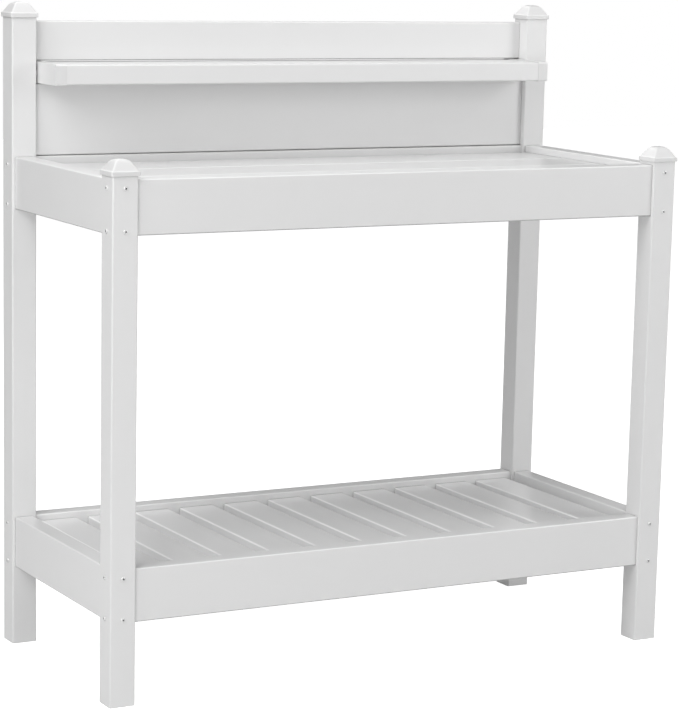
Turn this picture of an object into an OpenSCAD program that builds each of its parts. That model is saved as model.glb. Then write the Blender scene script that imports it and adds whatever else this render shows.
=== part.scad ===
// Potting bench in white vinyl: hollow extruded posts, rails, boards and slats.
// X is the width, Y the depth (the front is at -Y) and Z is up, in millimetres.
// The origin is on the floor at the middle of the footprint.

/* [Overall size] */
// Width over the outer faces of the posts
bench_w = 1219; // [1200:1:1240]
// Depth over the outer faces of the posts
bench_d = 540.5; // [530:0.5:560]
// Height of the lower edge of the front post caps
front_cap_z = 982; // [980:1:1040]
// Height of the lower edge of the rear post caps
rear_cap_z = 1243.6; // [1243:0.1:1300]

/* [Posts and caps] */
// Side of the square post
post = 50.8; // [50:0.1:52]
// Wall of the post
post_wall = 3.2; // [2.8:0.1:3.2]
// Outer corner radius of the extrusions
corner_r = 3; // [2.8:0.1:3.4]
// How far the cap's rim stands out past the post on each side
cap_overhang = 3; // [2.5:0.1:4]
// Height of the straight rim band of the cap
cap_band = 9.2; // [9:0.1:12]
// Height of the domed top above the band
cap_dome = 20; // [16:0.5:20]

/* [Rails] */
// Thickness of a rail
rail_t = 38.1; // [36:0.1:38.1]
// Height of a rail
rail_h = 101.6; // [95:0.1:101.6]
// Wall of a rail
rail_wall = 2.5; // [2:0.1:3]
// Height of the top of the worktop rails
worktop_rail_top = 975.4; // [960:0.1:975.4]
// Height of the top of the lower shelf rails
lower_rail_top = 259.1; // [240:0.1:280]

/* [Worktop] */
// Width of a worktop board
board_w = 139.7; // [134:0.1:139.7]
// Thickness of the boards and slats
board_t = 22.2; // [20:0.1:23]
// Gap between two worktop boards
board_gap = 6.35; // [3:0.05:6.35]
// Depth of the worktop boards' top below the rails' top
board_recess = 14.3; // [10:0.1:16]

/* [Lower shelf] */
// Width of a slat
slat_w = 76.2; // [70:0.1:80]
// Distance from one slat to the next
slat_pitch = 101.6; // [95:0.1:101.6]
// Depth of the slats' top below the rails' top
slat_recess = 12.7; // [10:0.1:16]

/* [Back and upper shelf] */
// Height of the top of the upper back board
upper_board_top = 1236.3; // [1236:0.1:1240]
// Height of the upper back board
upper_board_h = 77; // [74:0.1:77]
// Height of the underside of the lower back board
lower_board_bottom = 976.4; // [976.4:0.1:977.4]
// Height of the lower back board
lower_board_h = 139.7; // [134:0.1:139.7]
// Thickness of the lower back board
lower_board_t = 38.1; // [30:0.1:39]
// Height of the top of the upper shelf
shelf_top = 1157; // [1157:0.1:1158]
// Thickness of the upper shelf
shelf_t = 38.1; // [36:0.1:38.1]
// Depth of the upper shelf
shelf_d = 139.7; // [120:0.1:160]
// Space between each end of the upper shelf and the post beside it
shelf_end_space = 3.2; // [2:0.1:8]

/* [Screws] */
// Diameter of the pan heads
screw_head_d = 8.6; // [7:0.1:10]
// Diameter of the shanks
screw_d = 4; // [3:0.1:4.5]
// Length of the screws in the posts
screw_len = 19; // [14:0.5:20]
// Height of the upper screw of a rail, below the rail's top
screw_drop = 15.4; // [12:0.1:24]
// Height of the lower screw of a rail, above the rail's underside
screw_rise = 8.6; // [8:0.1:24]

/* [Hidden] */
$fn = 48;
vinyl = "#f2f3f3";
steel = "#e4e6e8";

// Play of a member in the routed hole that takes it
rout_play = 0.3;
// Inner corner radius of the extrusions
inner_r = 0.6;
// Space between the mitred ends of two rails inside a post
mitre_gap = 1;
// Length of a slat or board inside the hollow of the rail that takes it
tongue = 12;
// Wall and webs of the boards, slats and shelf
skin = 2;
// Small excess of a cutting shape
over = 1;
// Space between a back board or the shelf and the post or plate at its end
end_gap = 0.5;
// How far the shelf's end cap stands out past the shelf, and its play on the shelf
sleeve_rise = 1.2;
sleeve_play = 0.1;
sleeve_len = 22;

post_x = (bench_w - post) / 2;
post_y = (bench_d - post) / 2;
between_posts_x = bench_w - 2 * post;
// Distance between the inner faces of the rails, across and in depth
inner_x = 2 * post_x - rail_t;
inner_y = 2 * post_y - rail_t;

worktop_rail_z = worktop_rail_top - rail_h / 2;
lower_rail_z = lower_rail_top - rail_h / 2;
rail_levels = [worktop_rail_z, lower_rail_z];

board_z = worktop_rail_top - board_recess - board_t / 2;
board_pitch = board_w + board_gap;
bearer_side = 38.1;
bearer_z = board_z - board_t / 2 - bearer_side / 2;

slat_count = 11;
slat_z = lower_rail_top - slat_recess - board_t / 2;

// The back boards and the shelf's end caps are flush with the rear faces of the posts
upper_board_y = bench_d / 2 - board_t / 2;
lower_board_y = bench_d / 2 - lower_board_t / 2;
upper_board_z = upper_board_top - upper_board_h / 2;
lower_board_z = lower_board_bottom + lower_board_h / 2;
back_board_len = between_posts_x - 2 * end_gap;

shelf_z = shelf_top - shelf_t / 2;
shelf_y = (bench_d - shelf_d) / 2 - sleeve_rise;
end_plate = 4;
shelf_end_x = between_posts_x / 2 - shelf_end_space;
shelf_len = 2 * (shelf_end_x - end_plate - end_gap);
shelf_cell_w = (shelf_d - 3 * rail_wall) / 2;
spacer_d = 16;

// A plug fills the end of a hollow board with this play
plug_play = 0.2;
plug_len = 20;
board_cell_h = (lower_board_h - 4 * rail_wall) / 3;

// Slope of the dome's sides, radius of its crown and step in from the rim
dome_slope = 52;
crown_r = 15;
dome_inset = 0.6;
// Play of the cap on the post, and thickness of the cap above the post
cap_play = 0.2;
cap_ceiling = 1;

screw_head_h = 2.6;
// The head's top is part of a sphere of this radius, its centre this far past the seat
head_dome_r = 5.9;
head_dome_z = 3.2;
// Span, width and depth of the cross recess
recess_span = 4.4;
recess_w = 0.9;
recess_depth = 1.2;
screw_tip = 3;
inner_screw_len = 12;
hole_r = screw_d / 2 + 0.1;
// A screw inside the end of a board sits in a wide hole that leaves this much under it
screw_seat = 4;
seat_hole_d = screw_head_d + 1;
screw_heights = [for (top = [worktop_rail_top, lower_rail_top])
    each [top - screw_drop, top - rail_h + screw_rise]];

// ---- Profiles -------------------------------------------------------------

module rounded_rect(w, h, r) {
    square([w - 2 * r, h], center = true);
    square([w, h - 2 * r], center = true);
    for (sx = [-1, 1], sy = [-1, 1])
        translate([sx * (w / 2 - r), sy * (h / 2 - r)]) circle(r);
}

// Hollow extrusion; webs divide it along its first side
module hollow_profile(w, h, wall, webs = 0) {
    difference() {
        rounded_rect(w, h, corner_r);
        rounded_rect(w - 2 * wall, h - 2 * wall, inner_r);
    }
    for (i = [1:1:webs])
        translate([-w / 2 + wall / 2 + i * (w - wall) / (webs + 1), 0])
            square([wall, h - wall], center = true);
}

// Extrudes a profile along X: the profile's first side lies along Y, its second along Z
module along_x(len) {
    rotate([90, 0, 90]) linear_extrude(len, center = true) children();
}

// Extrudes a profile along Y: the profile's first side lies along X, its second along Z
module along_y(len) {
    rotate([90, 0, 0]) linear_extrude(len, center = true) children();
}

// Turns a thing built along +Z so that it points along sx in X or sy in Y
module facing(sx, sy) {
    rotate([0, 90, atan2(sy, sx)]) children();
}

// ---- Posts ----------------------------------------------------------------

// The rails enter a post at sx, sy through routed holes in its two inner faces
module post_at(sx, sy, cap_z) {
    height = cap_z + cap_band - cap_ceiling;
    rout_w = rail_t + 2 * rout_play;
    rout_h = rail_h + 2 * rout_play;
    color(vinyl) translate([sx * post_x, sy * post_y, 0]) difference() {
        linear_extrude(height) hollow_profile(post, post, post_wall);
        for (z = rail_levels) {
            translate([-sx * post / 2, 0, z])
                along_x(post - 2 * post_wall) rounded_rect(rout_w, rout_h, corner_r);
            translate([0, -sy * post / 2, z])
                along_y(post - 2 * post_wall) rounded_rect(rout_w, rout_h, corner_r);
        }
        for (z = screw_heights) {
            translate([sx * (post / 2 + over), 0, z])
                facing(-sx, 0) cylinder(r = hole_r, h = post_wall + 2 * over);
            translate([0, sy * (post / 2 + over), z])
                facing(0, -sy) cylinder(r = hole_r, h = post_wall + 2 * over);
        }
        if (sy > 0) back_screw_holes(-sx);
    }
}

// Holes in the inner face of a rear post, for the plugs and the shelf end
module back_screw_holes(dir) {
    for (yz = back_screws)
        translate([dir * (post / 2 + over), yz[0] - post_y, yz[1]])
            facing(-dir, 0) cylinder(r = hole_r, h = post_wall + 2 * over);
}

// ---- Caps -----------------------------------------------------------------

// Side outline of the domed top: steep sides that round over to a nearly flat crown
module dome_outline(half, rise) {
    // A crown arc leaves the slope at shoulder and meets the flat top at reach
    shoulder_z = rise - crown_r * (1 - cos(dome_slope));
    shoulder = half - shoulder_z / tan(dome_slope);
    reach = shoulder - crown_r * sin(dome_slope);
    polygon([[-half, 0], [half, 0], [shoulder, shoulder_z], [reach, rise], [-reach, rise],
        [-shoulder, shoulder_z]]);
    intersection() {
        for (s = [-1, 1])
            translate([s * reach, rise - crown_r]) circle(crown_r, $fn = 96);
        translate([-half, 0]) square([2 * half, rise]);
    }
}

// Four-sided dome: the outline crossed with itself
module dome(half, rise) {
    intersection() {
        along_y(4 * half) dome_outline(half, rise);
        along_x(4 * half) dome_outline(half, rise);
    }
}

module cap_at(sx, sy, cap_z) {
    rim = post + 2 * cap_overhang;
    socket = post + 2 * cap_play;
    inner_half = post / 2 - post_wall;
    color(vinyl) translate([sx * post_x, sy * post_y, cap_z]) difference() {
        union() {
            linear_extrude(cap_band) rounded_rect(rim, rim, corner_r);
            translate([0, 0, cap_band]) dome(rim / 2 - dome_inset, cap_dome);
        }
        translate([0, 0, -over]) linear_extrude(cap_band - cap_ceiling + over)
            rounded_rect(socket, socket, corner_r);
        translate([0, 0, cap_band - cap_ceiling - cap_play]) dome(inner_half, cap_dome - skin);
    }
}

// ---- Screws ---------------------------------------------------------------

// Pan-head screw: the head's seat is at the origin and the shank points along +Z
module pan_screw(len) {
    difference() {
        union() {
            intersection() {
                translate([0, 0, -screw_head_h]) cylinder(d = screw_head_d, h = screw_head_h);
                translate([0, 0, head_dome_z]) sphere(r = head_dome_r);
            }
            cylinder(d = screw_d, h = len - screw_tip);
            translate([0, 0, len - screw_tip]) cylinder(d1 = screw_d, d2 = 1, h = screw_tip);
        }
        for (a = [0, 90])
            rotate([0, 0, a]) translate([0, 0, -screw_head_h])
                cube([recess_span, recess_w, 2 * recess_depth], center = true);
    }
}

module post_screws(sx, sy) {
    color(steel) translate([sx * post_x, sy * post_y, 0])
        for (z = screw_heights) {
            translate([sx * post / 2, 0, z]) facing(-sx, 0) pan_screw(screw_len);
            translate([0, sy * post / 2, z]) facing(0, -sy) pan_screw(screw_len);
        }
}

// ---- Rails ----------------------------------------------------------------

// Cuts the end of a rail at 45 degrees inside the post at sx, sy, on the side of dx, dy
module mitre(sx, sy, dx, dy) {
    translate([sx * post_x, sy * post_y, -over])
        rotate([0, 0, atan2(dy, dx)])
            translate([mitre_gap / 2, -post, 0]) cube([2 * post, 2 * post, rail_h + 2 * over]);
}

module rail_profile() {
    hollow_profile(rail_t, rail_h, rail_wall);
}

// Front or back rail; sy is -1 at the front and +1 at the back
module rail_across(sy, z) {
    outer_y = sy * (post_y + rail_t / 2);
    color(vinyl) difference() {
        translate([0, sy * post_y, z]) along_x(bench_w) rail_profile();
        for (sx = [-1, 1]) {
            translate([0, 0, z - rail_h / 2]) mitre(sx, sy, sx, -sy);
            for (dz = [rail_h / 2 - screw_drop, screw_rise - rail_h / 2])
                translate([sx * post_x, outer_y + sy * over, z + dz])
                    facing(0, -sy) cylinder(r = hole_r, h = rail_wall + 2 * over);
        }
    }
}

// Left or right rail; sx is -1 on the left and +1 on the right
module rail_in_depth(sx, z) {
    outer_x = sx * (post_x + rail_t / 2);
    color(vinyl) difference() {
        translate([sx * post_x, 0, z]) along_y(bench_d) rail_profile();
        for (sy = [-1, 1]) {
            translate([0, 0, z - rail_h / 2]) mitre(sx, sy, -sx, sy);
            for (dz = [rail_h / 2 - screw_drop, screw_rise - rail_h / 2])
                translate([outer_x + sx * over, sy * post_y, z + dz])
                    facing(-sx, 0) cylinder(r = hole_r, h = rail_wall + 2 * over);
        }
    }
}

// A side rail of the worktop, routed for the three boards
module worktop_side_rail(sx) {
    color(vinyl) difference() {
        rail_in_depth(sx, worktop_rail_z);
        for (i = [-1:1])
            translate([sx * inner_x / 2, i * board_pitch, board_z])
                along_x(4 * rail_wall)
                    rounded_rect(board_w + 2 * rout_play, board_t + 2 * rout_play, corner_r);
    }
}

// The front or back rail of the worktop, routed for the bearer
module worktop_long_rail(sy) {
    color(vinyl) difference() {
        rail_across(sy, worktop_rail_z);
        translate([0, sy * inner_y / 2, bearer_z])
            along_y(4 * rail_wall)
                rounded_rect(bearer_side + 2 * rout_play, bearer_side + 2 * rout_play, corner_r);
    }
}

// The front or back rail of the lower shelf, routed for the slats
module lower_long_rail(sy) {
    color(vinyl) difference() {
        rail_across(sy, lower_rail_z);
        for (i = [1:slat_count])
            translate([slat_x(i), sy * inner_y / 2, slat_z])
                along_y(4 * rail_wall)
                    rounded_rect(slat_w + 2 * rout_play, board_t + 2 * rout_play, corner_r);
    }
}

// ---- Worktop and lower shelf ----------------------------------------------

// A worktop board, counted from the front: -1, 0 and 1
module worktop_board(i) {
    color(vinyl) translate([0, i * board_pitch, board_z])
        along_x(inner_x + 2 * tongue) hollow_profile(board_w, board_t, skin, webs = 2);
}

module worktop_bearer() {
    color(vinyl) translate([0, 0, bearer_z])
        along_y(inner_y + 2 * tongue) hollow_profile(bearer_side, bearer_side, skin);
}

function slat_x(i) = (i - (slat_count + 1) / 2) * slat_pitch;

module lower_slat(i) {
    color(vinyl) translate([slat_x(i), 0, slat_z])
        along_y(inner_y + 2 * tongue) hollow_profile(slat_w, board_t, skin, webs = 1);
}

// ---- Back -----------------------------------------------------------------

module upper_back_board() {
    color(vinyl) translate([0, upper_board_y, upper_board_z])
        along_x(back_board_len) rotate(90) hollow_profile(upper_board_h, board_t, skin);
}

module lower_back_board() {
    color(vinyl) translate([0, lower_board_y, lower_board_z])
        along_x(back_board_len) rotate(90)
            hollow_profile(lower_board_h, lower_board_t, rail_wall, webs = 2);
}

// Y, Z, half height and depth of each plug
upper_plug_h = upper_board_h / 2 - skin - plug_play;
upper_plug_d = board_t - 2 * skin - 2 * plug_play;
lower_plug_h = board_cell_h / 2 - plug_play;
lower_plug_d = lower_board_t - 2 * rail_wall - 2 * plug_play;
back_plugs = [
    [upper_board_y, upper_board_z, upper_plug_h, upper_plug_d],
    [lower_board_y, lower_board_z - board_cell_h - rail_wall, lower_plug_h, lower_plug_d],
    [lower_board_y, lower_board_z + board_cell_h + rail_wall, lower_plug_h, lower_plug_d]
];
// The shelf's end screw lies in the rear cell of the shelf
shelf_screw = [shelf_y + (shelf_cell_w + rail_wall) / 2, shelf_z];
// Y and Z of every screw in the inner face of a rear post
back_screws = concat([for (p = back_plugs) [p[0], p[1]]], [shelf_screw]);

module back_board_plugs() {
    color(vinyl) for (sx = [-1, 1], p = back_plugs)
        translate([sx * between_posts_x / 2, p[0], p[1]]) facing(-sx, 0) difference() {
            translate([-p[2], -p[3] / 2, 0]) cube([2 * p[2], p[3], plug_len]);
            translate([0, 0, -over]) cylinder(r = hole_r, h = plug_len + 2 * over);
            translate([0, 0, screw_seat]) cylinder(d = seat_hole_d, h = plug_len);
        }
}

module back_board_screws() {
    color(steel) for (sx = [-1, 1], p = back_plugs)
        translate([sx * (between_posts_x / 2 - screw_seat), p[0], p[1]])
            facing(sx, 0) pan_screw(inner_screw_len);
}

// ---- Upper shelf ----------------------------------------------------------

module upper_shelf() {
    color(vinyl) translate([0, shelf_y, shelf_z])
        along_x(shelf_len) hollow_profile(shelf_d, shelf_t, rail_wall, webs = 1);
}

// A cap that sleeves over the shelf's end, with a round spacer between it and the post
module shelf_end_cap(sx) {
    outer_w = shelf_d + 2 * sleeve_rise;
    outer_h = shelf_t + 2 * sleeve_rise;
    inner_w = shelf_d + 2 * sleeve_play;
    inner_h = shelf_t + 2 * sleeve_play;
    screw_y = shelf_screw[0] - shelf_y;
    color(vinyl) translate([sx * shelf_end_x, shelf_y, shelf_z]) difference() {
        union() {
            translate([-sx * sleeve_len / 2, 0, 0])
                along_x(sleeve_len) rounded_rect(outer_w, outer_h, corner_r + sleeve_rise);
            translate([-sx * over, screw_y, 0])
                facing(sx, 0) cylinder(d = spacer_d, h = shelf_end_space + over);
        }
        translate([-sx * (sleeve_len / 2 + end_plate), 0, 0])
            along_x(sleeve_len) rounded_rect(inner_w, inner_h, corner_r);
        translate([-sx * (end_plate + over), screw_y, 0])
            facing(sx, 0) cylinder(r = hole_r, h = end_plate + shelf_end_space + 2 * over);
    }
}

module shelf_end_screws() {
    color(steel) for (sx = [-1, 1])
        translate([sx * (shelf_end_x - end_plate), shelf_screw[0], shelf_screw[1]])
            facing(sx, 0) pan_screw(screw_len);
}

// ---- Nodes ----------------------------------------------------------------

sides = [["left", -1], ["right", 1]];
ends = [["front", -1, front_cap_z], ["rear", 1, rear_cap_z]];
boards = [["front", -1], ["middle", 0], ["back", 1]];

for (e = ends, s = sides) {
    name = str(e[0], "_", s[0]);
    post_at(s[1], e[1], e[2]);
    cap_at(s[1], e[1], e[2]);
    post_screws(s[1], e[1]);
}
for (r = [["front", -1], ["back", 1]]) {
    worktop_long_rail(r[1]);
    lower_long_rail(r[1]);
}
for (s = sides) {
    worktop_side_rail(s[1]);
    rail_in_depth(s[1], lower_rail_z);
    shelf_end_cap(s[1]);
}
for (b = boards)
    worktop_board(b[1]);
for (i = [1:slat_count])
    lower_slat(i);
worktop_bearer();
upper_back_board();
lower_back_board();
back_board_plugs();
back_board_screws();
upper_shelf();
shelf_end_screws();
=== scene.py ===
"""Looks of the white vinyl potting bench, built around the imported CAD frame."""

import math

import bmesh
import bpy
from mathutils import Matrix, Vector


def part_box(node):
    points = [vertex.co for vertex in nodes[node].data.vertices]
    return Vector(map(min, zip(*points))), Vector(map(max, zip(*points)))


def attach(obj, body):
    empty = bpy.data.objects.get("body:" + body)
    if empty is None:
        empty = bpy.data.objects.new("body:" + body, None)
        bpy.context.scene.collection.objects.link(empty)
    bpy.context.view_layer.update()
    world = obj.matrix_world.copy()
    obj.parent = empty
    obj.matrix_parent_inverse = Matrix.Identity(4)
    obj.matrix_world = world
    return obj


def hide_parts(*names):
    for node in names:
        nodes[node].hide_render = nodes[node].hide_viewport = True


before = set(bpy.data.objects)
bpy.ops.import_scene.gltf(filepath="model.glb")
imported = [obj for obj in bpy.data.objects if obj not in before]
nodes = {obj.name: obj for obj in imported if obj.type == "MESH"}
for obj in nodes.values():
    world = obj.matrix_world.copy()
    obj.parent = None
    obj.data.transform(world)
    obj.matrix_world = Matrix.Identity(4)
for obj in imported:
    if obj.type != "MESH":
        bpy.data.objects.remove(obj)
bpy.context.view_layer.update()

MM = 0.001


# ---- Shader helpers --------------------------------------------------------

def new_material(name):
    """An empty node material with its output and a Principled shader."""
    material = bpy.data.materials.new(name)
    material.use_nodes = True
    tree = material.node_tree
    tree.nodes.clear()
    output = tree.nodes.new("ShaderNodeOutputMaterial")
    shader = tree.nodes.new("ShaderNodeBsdfPrincipled")
    tree.links.new(shader.outputs["BSDF"], output.inputs["Surface"])
    return material, tree, shader


def add(tree, kind, values=None, **settings):
    """A node with its settings, and its input values by name or index."""
    node = tree.nodes.new("ShaderNode" + kind)
    for key, value in settings.items():
        setattr(node, key, value)
    for key, value in (values or {}).items():
        node.inputs[key].default_value = value
    return node


def feed(tree, node, index, value):
    """Gives an input of a node a number, a colour or the output of another node."""
    if isinstance(value, (int, float, tuple)):
        node.inputs[index].default_value = value
    else:
        tree.links.new(value, node.inputs[index])


def arithmetic(tree, operation, *values):
    """The result of a Math node; each value is a number or a socket."""
    node = add(tree, "Math", operation=operation)
    for index, value in enumerate(values):
        feed(tree, node, index, value)
    return node.outputs[0]


def mix(tree, factor, low, high):
    """A colour mix; each of low and high is a colour or a socket."""
    node = add(tree, "Mix", data_type="RGBA")
    for index, value in ((0, factor), (6, low), (7, high)):
        feed(tree, node, index, value)
    return node.outputs[2]


def ramp(tree, source, stops):
    """A colour ramp on source; stops are (position, grey)."""
    node = add(tree, "ValToRGB")
    tree.links.new(source, node.inputs["Fac"])
    elements = node.color_ramp.elements
    while len(elements) < len(stops):
        elements.new(0.5)
    for element, (position, tone) in zip(elements, stops):
        element.position = position
        element.color = grey(tone)
    return node.outputs["Color"]


def noise(tree, vector, scale, detail=3.0, rough=0.5):
    """Cloudy noise from 0 to 1; scale is in features per metre of vector."""
    node = add(tree, "TexNoise", {"Scale": scale, "Detail": detail, "Roughness": rough})
    tree.links.new(vector, node.inputs["Vector"])
    return node.outputs["Fac"]


def stretched(tree, stretch=(1, 1, 1)):
    """Object coordinates, scaled by stretch along each axis."""
    coordinates = add(tree, "TexCoord").outputs["Object"]
    mapping = add(tree, "Mapping", {"Scale": stretch})
    tree.links.new(coordinates, mapping.inputs["Vector"])
    return mapping.outputs["Vector"]


def embossed(tree, shader, height, strength, depth):
    """Bump from a height of 0 to 1, over depth."""
    bump = add(tree, "Bump", {"Strength": strength, "Distance": depth})
    tree.links.new(height, bump.inputs["Height"])
    tree.links.new(bump.outputs["Normal"], shader.inputs["Normal"])


def normal_parts(tree, absolute):
    """The X, Y and Z of the surface normal, without their signs if absolute."""
    normal = add(tree, "NewGeometry").outputs["Normal"]
    if absolute:
        size = add(tree, "VectorMath", operation="ABSOLUTE")
        tree.links.new(normal, size.inputs[0])
        normal = size.outputs["Vector"]
    parts = add(tree, "SeparateXYZ")
    tree.links.new(normal, parts.inputs[0])
    return parts.outputs


def rounded_edges(tree):
    """1 on the rounded corners of an extrusion and 0 on its flat faces, from the normal."""
    x, y, z = normal_parts(tree, absolute=True)
    largest = arithmetic(tree, "MAXIMUM", arithmetic(tree, "MAXIMUM", x, y), z)
    return ramp(tree, largest, [(0.93, 1.0), (0.997, 0.0)])


def turned(tree, sign, start, full):
    """0 on upright faces, rising to 1 as the normal turns up (sign 1) or down (sign -1)."""
    z = normal_parts(tree, absolute=False)[2]
    return ramp(tree, arithmetic(tree, "MULTIPLY", z, sign), [(start, 0.0), (full, 1.0)])


def marked_edges(tree):
    """The edge weight that the mesh code wrote on its rounded corners: where the painted highlight
    goes.
    """
    return add(tree, "Attribute", attribute_name="edge").outputs["Fac"]


def crevices(tree, reach):
    """An occlusion mask for painted shade: 0 in narrow gaps and inner corners, 1 on open faces."""
    open_air = add(tree, "AmbientOcclusion", {"Distance": reach}, samples=6)
    return ramp(tree, open_air.outputs["AO"], [(0.08, 0.0), (0.32, 0.70), (0.75, 1.0)])


# ---- Materials -------------------------------------------------------------

def grey(tone):
    """A neutral colour."""
    return (tone, tone, tone, 1)


VINYL_WHITE = grey(0.800)
VINYL_SHADE = grey(0.780)
# Painted highlight: rounded edges that face up are lighter
VINYL_PAINTED_HIGHLIGHT = grey(0.845)
# Upright rounded edges; the painted highlight grows from this tone as an edge turns up
VINYL_CORNER = grey(0.780)
# Painted shade on rounded edges that face down
VINYL_PAINTED_UNDERSHADE = grey(0.450)
# Painted shade in gaps and inner corners
VINYL_PAINTED_SHADE = (0.360, 0.358, 0.352, 1)
# Painted highlight on the slats' upper edges
SLAT_PAINTED_HIGHLIGHT = grey(0.960)
CAP_WHITE = grey(0.755)
CAP_SHADE = grey(0.730)
# Painted highlight on the caps' rims and hips and on the edges of the end caps
CAP_PAINTED_HIGHLIGHT = grey(0.840)
# Painted shade in the creases of the caps
CAP_PAINTED_SHADE = (0.400, 0.398, 0.392, 1)
PVC_IOR = 1.53

# Die lines change this much more slowly along the extrusion than across it
DIE_STRETCH = 0.02


def vinyl(name, along, reach=6 * MM, upper=VINYL_PAINTED_HIGHLIGHT, painted_undershade=VINYL_PAINTED_UNDERSHADE):
    """Extruded vinyl; along is the axis of the extrusion: faint die lines run along it.

    Corners and gaps get painted shade over reach; upper is the tone of the painted highlight on the
    rounded edges that face up, and the last argument that of the painted shade on those that face down.
    """
    material, tree, shader = new_material(name)
    even = stretched(tree)
    die = stretched(tree, tuple(DIE_STRETCH if axis == along else 1.0 for axis in "XYZ"))

    tone = mix(tree, noise(tree, even, 5.0), VINYL_SHADE, VINYL_WHITE)
    edges = rounded_edges(tree)
    # Painted highlight: rounded edges lighten as they turn up
    edge_highlight_tone = mix(tree, turned(tree, 1.0, 0.1, 0.4), VINYL_CORNER, upper)
    highlighted = mix(tree, edges, tone, edge_highlight_tone)
    # Painted shade on rounded edges that face down
    lower = arithmetic(tree, "MULTIPLY", edges, turned(tree, -1.0, 0.12, 0.45))
    undershaded = mix(tree, lower, highlighted, painted_undershade)
    # Painted shade in gaps and inner corners
    tree.links.new(mix(tree, crevices(tree, reach), VINYL_PAINTED_SHADE, undershaded), shader.inputs["Base Color"])

    smudges = noise(tree, even, 11.0, detail=4.0, rough=0.6)
    tree.links.new(arithmetic(tree, "MULTIPLY_ADD", smudges, 0.12, 0.28), shader.inputs["Roughness"])
    shader.inputs["IOR"].default_value = PVC_IOR

    streaks = noise(tree, die, 260.0, detail=2.0)
    grain = arithmetic(tree, "MULTIPLY", noise(tree, even, 900.0, detail=2.0), 0.25)
    embossed(tree, shader, arithmetic(tree, "MULTIPLY_ADD", streaks, 0.6, grain), 0.12, 0.15 * MM)
    return material


def moulded(name, edges):
    """Moulded vinyl with a fine even texture; edges says where the corners are, which get a painted
    highlight, and creases get painted shade.
    """
    material, tree, shader = new_material(name)
    even = stretched(tree)
    tone = mix(tree, noise(tree, even, 14.0), CAP_SHADE, CAP_WHITE)
    # Painted highlight on the corners
    highlighted = mix(tree, edges(tree), tone, CAP_PAINTED_HIGHLIGHT)
    # Painted shade in creases
    tree.links.new(mix(tree, crevices(tree, 4 * MM), CAP_PAINTED_SHADE, highlighted), shader.inputs["Base Color"])
    rough = arithmetic(tree, "MULTIPLY_ADD", noise(tree, even, 60.0), 0.1, 0.28)
    tree.links.new(rough, shader.inputs["Roughness"])
    shader.inputs["IOR"].default_value = PVC_IOR
    embossed(tree, shader, noise(tree, even, 1200.0), 0.10, 0.1 * MM)
    return material


def scuffed_steel(name, tone, roughness, metallic):
    """Steel of the screws, with fine scuffs that dull its tone and gloss."""
    material, tree, shader = new_material(name)
    scuffs = noise(tree, stretched(tree), 900.0, detail=3.0)
    tree.links.new(mix(tree, scuffs, grey(0.82 * tone), grey(tone)), shader.inputs["Base Color"])
    rough = arithmetic(tree, "MULTIPLY_ADD", scuffs, 0.12, roughness)
    tree.links.new(rough, shader.inputs["Roughness"])
    shader.inputs["Metallic"].default_value = metallic
    embossed(tree, shader, scuffs, 0.2, 0.03 * MM)
    return material


vinyl_along = {axis: vinyl("vinyl_along_" + axis.lower(), axis) for axis in "XYZ"}
# Slats: painted shade reaches further into their gaps and their upper edges get a brighter painted
# highlight
slat_vinyl = vinyl("slat_vinyl", "Y", reach=13 * MM, upper=SLAT_PAINTED_HIGHLIGHT)
# Back members: painted shade in gaps reaches only 2 mm, no painted highlight on upper edges, slight
# painted shade on lower ones
back_vinyl = vinyl("back_vinyl", "X", reach=2 * MM, upper=VINYL_WHITE, painted_undershade=VINYL_SHADE)
# Caps and end caps: painted highlight on their edges
cap_vinyl = moulded("cap_vinyl", marked_edges)
end_vinyl = moulded("end_vinyl", rounded_edges)
screw_steel = scuffed_steel("screw_steel", 0.90, roughness=0.22, metallic=0.35)
# Painted shade: the screws' recesses are coloured dark
recess_painted_shade = scuffed_steel("recess_painted_shade", 0.16, roughness=0.50, metallic=0.70)

# Members of the back that meet at a narrow gap, where the painted shade in gaps and on lower edges is
# kept slight and upper edges get no painted highlight
CLOSE_MEMBERS = ("lower_back_board", "upper_shelf", "worktop_back_rail")


def axis_of(name):
    """The axis that a member is extruded along: its longest side."""
    low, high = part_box(name)
    size = high - low
    return "XYZ"[max(range(3), key=lambda i: size[i])]


def finish_of(name):
    """The material of a CAD node."""
    if "screws" in name:
        return screw_steel
    if name.endswith("_cap") or "plugs" in name:
        return end_vinyl
    if "slat" in name:
        return slat_vinyl
    if name in CLOSE_MEMBERS:
        return back_vinyl
    return vinyl_along[axis_of(name)]


for name, node in nodes.items():
    node.data.materials.clear()
    node.data.materials.append(finish_of(name))


# ---- Lofted pieces ---------------------------------------------------------

def loft(bm, rings, edge_layer, weights, slots):
    """Skins the rings in order and closes both ends; slots holds one material index per band."""
    made = []
    for ring, weight in zip(rings, weights):
        points = []
        for place, w in zip(ring, weight):
            point = bm.verts.new(place)
            point[edge_layer] = w
            points.append(point)
        made.append(points)
    count = len(made[0])
    outlines = [(made[0][::-1], slots[0]), (made[-1], slots[-1])]
    for low, high, slot in zip(made, made[1:], slots):
        for i in range(count):
            k = (i + 1) % count
            outlines.append(((low[i], low[k], high[k], high[i]), slot))
    for outline, slot in outlines:
        face = bm.faces.new(outline)
        face.material_index = slot
        face.smooth = True


def finish_piece(name, bm, finishes, stands_for):
    """Turns the mesh code into a piece that stands for a CAD node."""
    bmesh.ops.recalc_face_normals(bm, faces=bm.faces)
    mesh = bpy.data.meshes.new(name)
    bm.to_mesh(mesh)
    bm.free()
    for finish in finishes:
        mesh.materials.append(finish)
    piece = bpy.data.objects.new(name, mesh)
    bpy.context.scene.collection.objects.link(piece)
    weighted = piece.modifiers.new("normals", "WEIGHTED_NORMAL")
    weighted.weight = 80
    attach(piece, "root")
    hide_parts(stands_for)


# ---- Post caps: sizes in mm, heights from the cap's lower edge --------------

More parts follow.
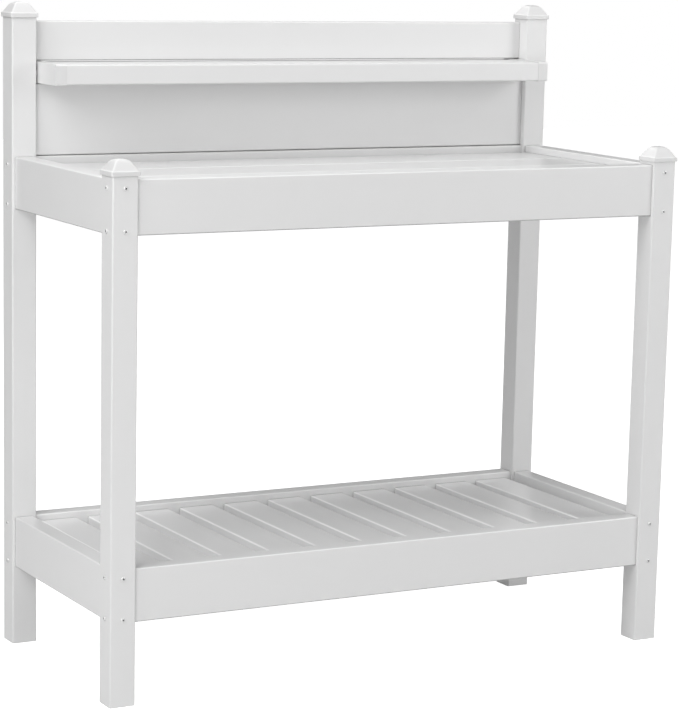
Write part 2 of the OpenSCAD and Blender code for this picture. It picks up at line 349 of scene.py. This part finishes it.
CORNER_STEPS = 8
BAND_CORNER = 3.0
DOME_CORNER = 3.2
SOCKET_HALF = 25.6
SOCKET_TOP = 8.2
BAND_TOP = 9.3
DOME_TOP = 29.2
CROWN_RADIUS = 15.0
CROWN_CENTRE = 4.86

# Corner points are marked as edges for the painted highlight, most in the middle of each corner
CORNER_WEIGHTS = [math.sin(math.pi * step / CORNER_STEPS) ** 0.5 if 0 < step < CORNER_STEPS else 0.0
                  for step in range(CORNER_STEPS + 1)] * 4


def rounded_square(centre, half, radius, z):
    """One ring of a rounded square; half is half its side."""
    ring = []
    inner = half - radius
    for quarter, (sx, sy) in enumerate(((1, 1), (-1, 1), (-1, -1), (1, -1))):
        for step in range(CORNER_STEPS + 1):
            angle = math.radians(90 * (quarter + step / CORNER_STEPS))
            ring.append((centre[0] + sx * inner + radius * math.cos(angle),
                         centre[1] + sy * inner + radius * math.sin(angle), z))
    return ring


def band_profile(rim):
    """Half width, height and painted highlight weight: socket from its middle, then the rim band."""
    socket = [(2.0, SOCKET_TOP, 0), (SOCKET_HALF, SOCKET_TOP, 0), (SOCKET_HALF, 0.4, 0), (26.0, 0.0, 0)]
    lower = [(rim - 0.7, 0.0, 0.2), (rim - 0.2, 0.2, 0.7), (rim, 0.8, 0.3), (rim, 1.6, 0.0)]
    upper = [(rim, 7.0, 0.0), (rim, 7.6, 0.5), (rim - 0.15, 8.25, 1.0), (rim - 0.5, 8.85, 1.0)]
    return socket + lower + upper


def dome_profile():
    """Half width, height and painted highlight weight: flared foot, straight side and rounded crown."""
    foot = [(27.3, 9.25, 0.8), (26.6, 9.45, 0.3), (25.9, 9.95, 0.0), (25.3, 10.8, 0.0)]
    side = [(24.9, 11.4, 0.0), (22.2, 15.4, 0.0), (19.4, 19.5, 0.0)]
    crown = []
    for angle in range(52, 0, -7):
        a = math.radians(angle)
        crown.append((CROWN_CENTRE + CROWN_RADIUS * math.sin(a),
                      DOME_TOP - CROWN_RADIUS * (1 - math.cos(a)), 0.1))
    return foot + side + crown + [(3.4, DOME_TOP, 0.1), (1.2, DOME_TOP, 0.1)]


def corner_mark(height):
    """How strongly the painted highlight shows on the four corners: more on the hips of the dome."""
    return 0.6 if 10 < height < 28 else 0.4


def post_cap(name):
    """A domed cap: socket, rim band with rounded edges, small ledge and four-sided dome."""
    low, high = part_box(name)
    centre = ((low[0] + high[0]) / 2, (low[1] + high[1]) / 2)
    rim = (high[0] - low[0]) / 2 / MM
    rings, weights = [], []
    for half, height, weight in band_profile(rim) + dome_profile():
        radius = min(DOME_CORNER, 0.6 * half) if height > BAND_TOP else BAND_CORNER
        rings.append(rounded_square(centre, half * MM, radius * MM, low[2] + height * MM))
        weights.append([max(weight, corner_mark(height) * w) for w in CORNER_WEIGHTS])
    bm = bmesh.new()
    layer = bm.verts.layers.float.new("edge")
    loft(bm, rings, layer, weights, [0] * (len(rings) - 1))
    finish_piece(name + "_moulding", bm, [cap_vinyl], name)


# ---- Screws: sizes in mm, the seat at z 0 and the head in +z ----------------

POLAR_STEPS = 48

# Radius and height, from the tip of the shank over the rim of the head
PAN_HEAD = ((0.4, -18.9), (0.7, -18.4), (2.0, -16.0), (2.0, -0.2), (2.3, 0.0), (4.0, 0.0),
            (4.25, 0.12), (4.3, 0.4), (4.3, 0.9), (4.2, 1.3), (3.9, 1.75), (3.4, 2.1), (2.7, 2.39))

# Scale of the cross and height: its raised lip, then the walls down to the bottom, which are coloured
# dark as painted shade
RECESS = ((1.06, 2.56), (0.97, 2.44), (0.80, 1.5), (0.45, 0.9), (0.1, 0.6))
CROSS_ARM = 2.2
CROSS_HALF_WIDTH = 0.68

# Degrees: the recess of each screw stands at another angle
FIRST_TURN = 23
NEXT_TURN = 37

# Height of the two screws of a rail below its top and above its underside
SCREW_DROP = 15.4 * MM
SCREW_RISE = 8.6 * MM


def cross_radius(angle):
    """Distance from the middle to the outline of the cross, in the direction of angle."""
    from_arm = (angle + math.pi / 4) % (math.pi / 2) - math.pi / 4
    along, across = math.cos(from_arm), abs(math.sin(from_arm))
    return min(CROSS_ARM / along, CROSS_HALF_WIDTH / across if across > 1e-6 else CROSS_ARM)


def pan_head_rings():
    """The rings of a screw, from its tip to the bottom of the recess, and a slot per band."""
    angles = [2 * math.pi * i / POLAR_STEPS for i in range(POLAR_STEPS)]
    outlines = [([radius] * POLAR_STEPS, z, 0) for radius, z in PAN_HEAD]
    for scale, z in RECESS:
        outlines.append(([scale * cross_radius(a) for a in angles], z, 1 if scale < 1 else 0))
    rings = [[(radius * math.cos(a), radius * math.sin(a), z) for radius, a in zip(radii, angles)]
             for radii, z, _ in outlines]
    return rings, [slot for _, _, slot in outlines][:-1]


def post_screws(end, side):
    """The eight pan-head screws of a post: two per rail on each of its two outer faces."""
    name = "_".join((end, side, "screws"))
    low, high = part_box("_".join((end, side, "post")))
    middle = (low + high) / 2
    sx = -1 if side == "left" else 1
    sy = -1 if end == "front" else 1
    face_x = high[0] if sx > 0 else low[0]
    face_y = high[1] if sy > 0 else low[1]
    heights = []
    for rail in ("worktop_front_rail", "lower_front_rail"):
        rail_low, rail_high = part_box(rail)
        heights += [rail_high[2] - SCREW_DROP, rail_low[2] + SCREW_RISE]
    bm = bmesh.new()
    layer = bm.verts.layers.float.new("edge")
    rings, slots = pan_head_rings()
    for number, z in enumerate(heights):
        twist = Matrix.Rotation(math.radians(FIRST_TURN + NEXT_TURN * number), 4, "Z")
        seats = (((face_x, middle[1], z), (sx, 0, 0)), ((middle[0], face_y, z), (0, sy, 0)))
        for seat, outward in seats:
            turn = Vector(outward).to_track_quat("Z", "Y").to_matrix().to_4x4()
            place = Matrix.Translation(seat) @ turn @ twist @ Matrix.Scale(MM, 4)
            placed = [[place @ Vector(p) for p in ring] for ring in rings]
            loft(bm, placed, layer, [[0.0] * POLAR_STEPS] * len(rings), slots)
    finish_piece(name + "_pan_heads", bm, [screw_steel, recess_painted_shade], name)


for end in ("front", "rear"):
    for side in ("left", "right"):
        post_cap("_".join((end, side, "cap")))
        post_screws(end, side)


# ---- Floor, light and camera: places in metres ------------------------------

AMBIENT = 0.08
WAIST = (0, 0, 0.6)

# Name, place, aim, size and watts
SOFTBOXES = [
    ("high_left", (-3.0, -1.5, 3.6), WAIST, (2.8, 2.8), 107),
    ("front_left", (-2.5, -2.6, 2.0), WAIST, (1.4, 1.4), 15),
    ("low_left", (-2.6, -3.2, 0.9), WAIST, (1.4, 0.8), 20),
    ("left", (-3.2, -0.2, 1.6), WAIST, (1.6, 1.6), 5),
    ("right", (2.6, -2.4, 1.8), WAIST, (1.6, 1.6), 40),
    ("high_right", (3.0, -1.0, 3.2), WAIST, (1.8, 1.8), 16),
    ("top", (0.0, 0.0, 3.2), (0, 0, 0), (2.8, 2.2), 22),
    ("back", (0.0, 2.6, 3.4), WAIST, (2.4, 1.6), 33),
]


def flat_floor(half):
    """A plain floor that turns white away from the bench, as a studio sweep does."""
    mesh = bpy.data.meshes.new("floor")
    mesh.from_pydata([(-half, -half, 0), (half, -half, 0), (half, half, 0), (-half, half, 0)],
                     [], [(0, 1, 2, 3)])
    floor = bpy.data.objects.new("floor", mesh)
    bpy.context.scene.collection.objects.link(floor)
    material, tree, shader = new_material("floor")
    even = stretched(tree)
    tone = mix(tree, noise(tree, even, 1.5), grey(0.80), grey(0.82))
    tree.links.new(tone, shader.inputs["Base Color"])
    shader.inputs["Roughness"].default_value = 0.9
    shader.inputs["Specular IOR Level"].default_value = 0.0
    shader.inputs["Emission Color"].default_value = grey(1)
    distance = add(tree, "VectorMath", operation="LENGTH")
    tree.links.new(even, distance.inputs[0])
    fade = add(tree, "MapRange", {"From Min": 1.0, "From Max": 4.0, "To Min": 0.82, "To Max": 1.0},
               interpolation_type="SMOOTHSTEP")
    tree.links.new(distance.outputs["Value"], fade.inputs["Value"])
    # Only the camera sees the white: it lights nothing
    seen = add(tree, "LightPath").outputs["Is Camera Ray"]
    glow = arithmetic(tree, "MULTIPLY", fade.outputs["Result"], seen)
    tree.links.new(glow, shader.inputs["Emission Strength"])
    mesh.materials.append(material)


def sky(ambient, shown=1.0):
    """A plain white surround that lights the object with ambient and looks shown bright."""
    world = bpy.data.worlds.new("studio")
    bpy.context.scene.world = world
    world.use_nodes = True
    tree = world.node_tree
    tree.nodes.clear()
    output = add(tree, "OutputWorld")
    chooser = add(tree, "MixShader")
    feed(tree, chooser, 0, add(tree, "LightPath").outputs["Is Camera Ray"])
    for index, strength in ((1, ambient), (2, shown)):
        backdrop = add(tree, "Background", {"Color": grey(1), "Strength": strength})
        feed(tree, chooser, index, backdrop.outputs[0])
    tree.links.new(chooser.outputs[0], output.inputs["Surface"])


def softbox(name, place, aim, size, watts):
    """A soft rectangular lamp that points from place to aim."""
    data = bpy.data.lights.new(name, "AREA")
    data.shape = "RECTANGLE"
    data.size, data.size_y = size
    data.energy = watts
    lamp = bpy.data.objects.new(name, data)
    lamp.location = place
    lamp.rotation_euler = (Vector(aim) - Vector(place)).to_track_quat("-Z", "Y").to_euler()
    bpy.context.scene.collection.objects.link(lamp)


def look_from(azimuth, elevation, roll, target, distance, lens, shift_y):
    """A camera that looks at target; azimuth 0 looks along +Y; angles are in degrees."""
    a, e, r = (math.radians(v) for v in (azimuth, elevation, roll))
    back = Vector((math.sin(a) * math.cos(e), -math.cos(a) * math.cos(e), math.sin(e)))
    level = Vector((0, 0, 1)).cross(back).normalized()
    upright = back.cross(level)
    right = math.cos(r) * level + math.sin(r) * upright
    up = math.cos(r) * upright - math.sin(r) * level
    data = bpy.data.cameras.new("camera")
    data.lens = lens
    data.sensor_width = 36.0
    data.shift_y = shift_y
    camera = bpy.data.objects.new("camera", data)
    axes = Matrix((right, up, back)).transposed()
    camera.matrix_world = Matrix.Translation(Vector(target) + distance * back) @ axes.to_4x4()
    bpy.context.scene.collection.objects.link(camera)
    bpy.context.scene.camera = camera


flat_floor(half=12.0)
sky(AMBIENT)
for settings in SOFTBOXES:
    softbox(*settings)
look_from(azimuth=-28.455, elevation=10.361, roll=1.2415, target=(0.0076, 0.0041, 0.4719),
          distance=5.269, lens=130.87, shift_y=0.0694)
bpy.context.scene.view_settings.view_transform = "Standard"
